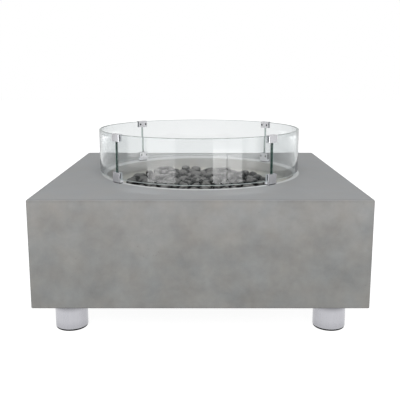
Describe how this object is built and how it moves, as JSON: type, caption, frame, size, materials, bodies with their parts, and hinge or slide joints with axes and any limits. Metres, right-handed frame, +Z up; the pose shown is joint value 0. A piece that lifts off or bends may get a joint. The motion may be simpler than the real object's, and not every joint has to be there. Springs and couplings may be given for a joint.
{
  "type": "fire pit table",
  "caption": "Square cast concrete fire pit table on round steel legs: sunk round well of lava stones over a gas burner, lift-off round glass wind guard, controls recessed in the rear wall.",
  "frame": {"origin": "on the floor, under the middle of the square table", "axes": "+Z up, the front looks along -Y, the controls are on the +Y side"},
  "size_m": [1.067, 1.067, 0.6215],
  "materials": {
    "concrete": "smooth cast concrete",
    "frame_steel": "black powder coat",
    "fastener_steel": "zinc plated",
    "leg_steel": "brushed stainless",
    "foot_rubber": "matt black",
    "burner_steel": "stainless sheet",
    "brass": "machined",
    "white_ceramic": "unglazed",
    "lava_stone": "rough porous",
    "tray_steel": "brushed stainless sheet",
    "knob_plastic": "fine matt",
    "module_plastic": "moulded",
    "button_plastic": "gloss",
    "pipe_copper": "bare copper",
    "hose_steel": "corrugated stainless",
    "lead_rubber": "silicone",
    "screw_black": "black oxide",
    "pad_rubber": "clear soft pad",
    "clip_metal": "satin nickel",
    "guard_glass": "clear tempered"
  },
  "bodies": {
    "table": {"concrete_shell": "concrete", "base_frame": "frame_steel", "frame_inserts": "brass", "frame_screws": "fastener_steel", "leg_bolts": "fastener_steel", "burner_pan": "burner_steel", "burner_ring": "burner_steel", "burner_nipple": "fastener_steel", "burner_locknut": "fastener_steel", "air_mixer": "brass", "heat_shield": "burner_steel", "shield_spacers": "fastener_steel", "shield_screws": "fastener_steel", "ignition_bracket": "burner_steel", "spark_electrode": "white_ceramic", "thermocouple": "fastener_steel", "lava_rocks": "lava_stone", "control_tray": "tray_steel", "tray_screws": "fastener_steel", "gas_valve": "brass", "valve_nut": "fastener_steel", "safety_magnet": "brass", "ignition_module": "module_plastic", "ignition_nut": "module_plastic", "inlet_fitting": "brass", "inlet_nut": "brass", "inlet_pipe": "pipe_copper", "burner_hose": "hose_steel", "ignition_lead": "lead_rubber", "thermocouple_lead": "pipe_copper", "leg_front_left": "leg_steel", "foot_front_left": "foot_rubber", "leg_front_right": "leg_steel", "foot_front_right": "foot_rubber", "leg_rear_left": "leg_steel", "foot_rear_left": "foot_rubber", "leg_rear_right": "leg_steel", "foot_rear_right": "foot_rubber"},
    "wind_guard": {"clip_screws": "screw_black", "clip_pads": "pad_rubber", "clip_feet": "foot_rubber", "top_clip_front_left": "clip_metal", "bottom_clip_front_left": "clip_metal", "top_clip_front_right": "clip_metal", "bottom_clip_front_right": "clip_metal", "top_clip_rear_left": "clip_metal", "bottom_clip_rear_left": "clip_metal", "top_clip_rear_right": "clip_metal", "bottom_clip_rear_right": "clip_metal", "glass_front": "guard_glass", "glass_left": "guard_glass", "glass_rear": "guard_glass", "glass_right": "guard_glass"},
    "valve_push": {"valve_plunger": "fastener_steel"},
    "knob_turn": {"valve_stem": "fastener_steel", "control_knob": "knob_plastic"},
    "igniter_push": {"igniter_button": "button_plastic"}
  },
  "joints": [
    {"name": "wind_guard_lift", "type": "slide", "parent": "table", "child": "wind_guard", "axis": [0, 0, 1], "range_m": [0, 0.25]},
    {"name": "knob_push", "type": "slide", "parent": "table", "child": "valve_push", "axis": [0, -1, 0], "range_m": [0, 0.004], "stiffness_N_per_m": 800, "springref_m": -0.004},
    {"name": "knob_turn", "type": "hinge", "parent": "valve_push", "child": "knob_turn", "pos_m": [0, 0.5, 0.3], "axis": [0, 1, 0], "range_deg": [0, 170]},
    {"name": "igniter_push", "type": "slide", "parent": "table", "child": "igniter_push", "axis": [0, -1, 0], "range_m": [0, 0.004], "stiffness_N_per_m": 400, "springref_m": -0.003}
  ]
}
